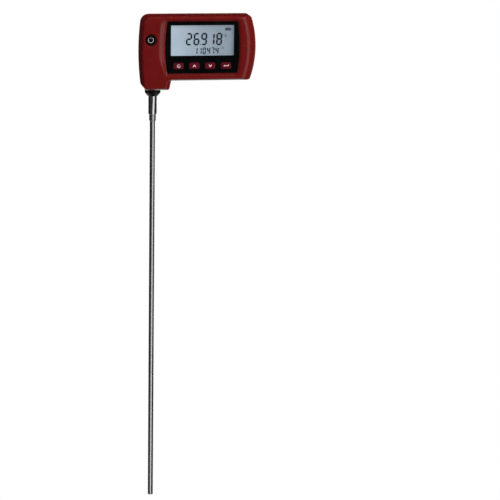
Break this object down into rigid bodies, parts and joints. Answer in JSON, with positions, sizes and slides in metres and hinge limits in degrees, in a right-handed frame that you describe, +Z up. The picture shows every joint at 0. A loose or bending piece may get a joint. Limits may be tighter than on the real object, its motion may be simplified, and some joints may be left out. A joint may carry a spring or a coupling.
{
  "type": "soil thermometer probe",
  "caption": "Digital soil thermometer: a moulded hand-held read-out head with display and keys, carried on a long thin stainless stem with a gland and swivel.",
  "frame": {"origin": "centre of the flat end face of the stem", "axes": "+Z up the stem's axis towards the head, +X from the stem towards the display, the display faces -Y"},
  "size_m": [0.1392, 0.0392, 0.6055],
  "materials": {
    "red_shell": "semi-gloss moulded plastic, fine orange peel",
    "black_panel": "glossy black display surround",
    "window_clear": "clear polished polycarbonate",
    "lcd": "grey-blue liquid crystal face",
    "backlight": "white diffuser",
    "key_red": "satin moulded key caps",
    "black_rubber": "matt black elastomer",
    "gland_black": "satin black nylon",
    "stainless": "polished drawn stainless tube",
    "nickel": "nickel plate",
    "zinc_screw": "zinc-plated steel",
    "white_plastic": "natural acetal or nylon",
    "frame_plastic": "dark glass-filled nylon",
    "ceramic": "fired alumina",
    "wire_red": "lead insulation",
    "wire_white": "lead insulation",
    "potting": "cast epoxy",
    "pcb": "solder-masked laminate",
    "chip_black": "moulded package",
    "zebra": "layered conductive elastomer",
    "cell_wrap": "plain printed sleeve",
    "label_silver": "plain blank label"
  },
  "bodies": {
    "probe": {"probe_sheath": "stainless", "tip_plug": "stainless", "sensor_element": "ceramic", "lead_wire_1": "wire_red", "lead_wire_2": "wire_red", "lead_wire_3": "wire_white", "lead_wire_4": "wire_white", "potting_plug": "potting", "probe_ferrule": "stainless", "probe_hub": "stainless", "thrust_washer": "white_plastic", "retaining_ring": "zinc_screw"},
    "head": {"backlight_panel": "backlight", "battery_1": "cell_wrap", "battery_2": "cell_wrap", "battery_3": "cell_wrap", "battery_spring_1": "nickel", "battery_spring_2": "nickel", "battery_spring_3": "nickel", "bezel_panel": "black_panel", "circuit_board": "pcb", "contact_plate_left": "nickel", "contact_plate_right": "nickel", "converter_chip": "chip_black", "display_window": "window_clear", "dome_sheet": "nickel", "front_cover": "red_shell", "gland_body": "nickel", "gland_collar": "gland_black", "gland_seal": "black_rubber", "housing_screw_1": "zinc_screw", "housing_screw_2": "zinc_screw", "housing_screw_3": "zinc_screw", "housing_screw_4": "zinc_screw", "housing_screw_5": "zinc_screw", "housing_seal": "black_rubber", "keypad_mat": "black_rubber", "lcd_frame": "frame_plastic", "lcd_gasket": "black_rubber", "lcd_glass": "lcd", "lead_cable": "black_rubber", "lead_plug": "white_plastic", "lead_socket": "white_plastic", "power_dome": "nickel", "processor_chip": "chip_black", "rating_label": "label_silver", "rear_cover": "red_shell", "zebra_strip": "zebra"},
    "battery_door": {"battery_cover": "red_shell", "battery_cover_seal": "black_rubber", "cover_screw_1": "zinc_screw", "cover_screw_2": "zinc_screw"},
    "mode_key": {"key_mode": "key_red"},
    "up_key": {"key_up": "key_red"},
    "down_key": {"key_down": "key_red"},
    "enter_key": {"key_enter": "key_red"},
    "power_key": {"power_button": "black_rubber"}
  },
  "joints": [
    {"name": "head_swivel", "type": "hinge", "parent": "probe", "child": "head", "pos_m": [0, 0, 0.5175], "axis": [0, 0, 1], "range_deg": [-90, 90]},
    {"name": "battery_door_lift", "type": "slide", "parent": "head", "child": "battery_door", "axis": [0, 1, 0], "range_m": [0, 0.02]},
    {"name": "mode_key_press", "type": "slide", "parent": "head", "child": "mode_key", "axis": [0, 1, 0], "range_m": [0, 0.0008], "stiffness_N_per_m": 1500, "springref_m": -0.0004},
    {"name": "up_key_press", "type": "slide", "parent": "head", "child": "up_key", "axis": [0, 1, 0], "range_m": [0, 0.0008], "stiffness_N_per_m": 1500, "springref_m": -0.0004},
    {"name": "down_key_press", "type": "slide", "parent": "head", "child": "down_key", "axis": [0, 1, 0], "range_m": [0, 0.0008], "stiffness_N_per_m": 1500, "springref_m": -0.0004},
    {"name": "enter_key_press", "type": "slide", "parent": "head", "child": "enter_key", "axis": [0, 1, 0], "range_m": [0, 0.0008], "stiffness_N_per_m": 1500, "springref_m": -0.0004},
    {"name": "power_press", "type": "slide", "parent": "head", "child": "power_key", "axis": [0, 1, 0], "range_m": [0, 0.0008], "stiffness_N_per_m": 1500, "springref_m": -0.0004}
  ]
}
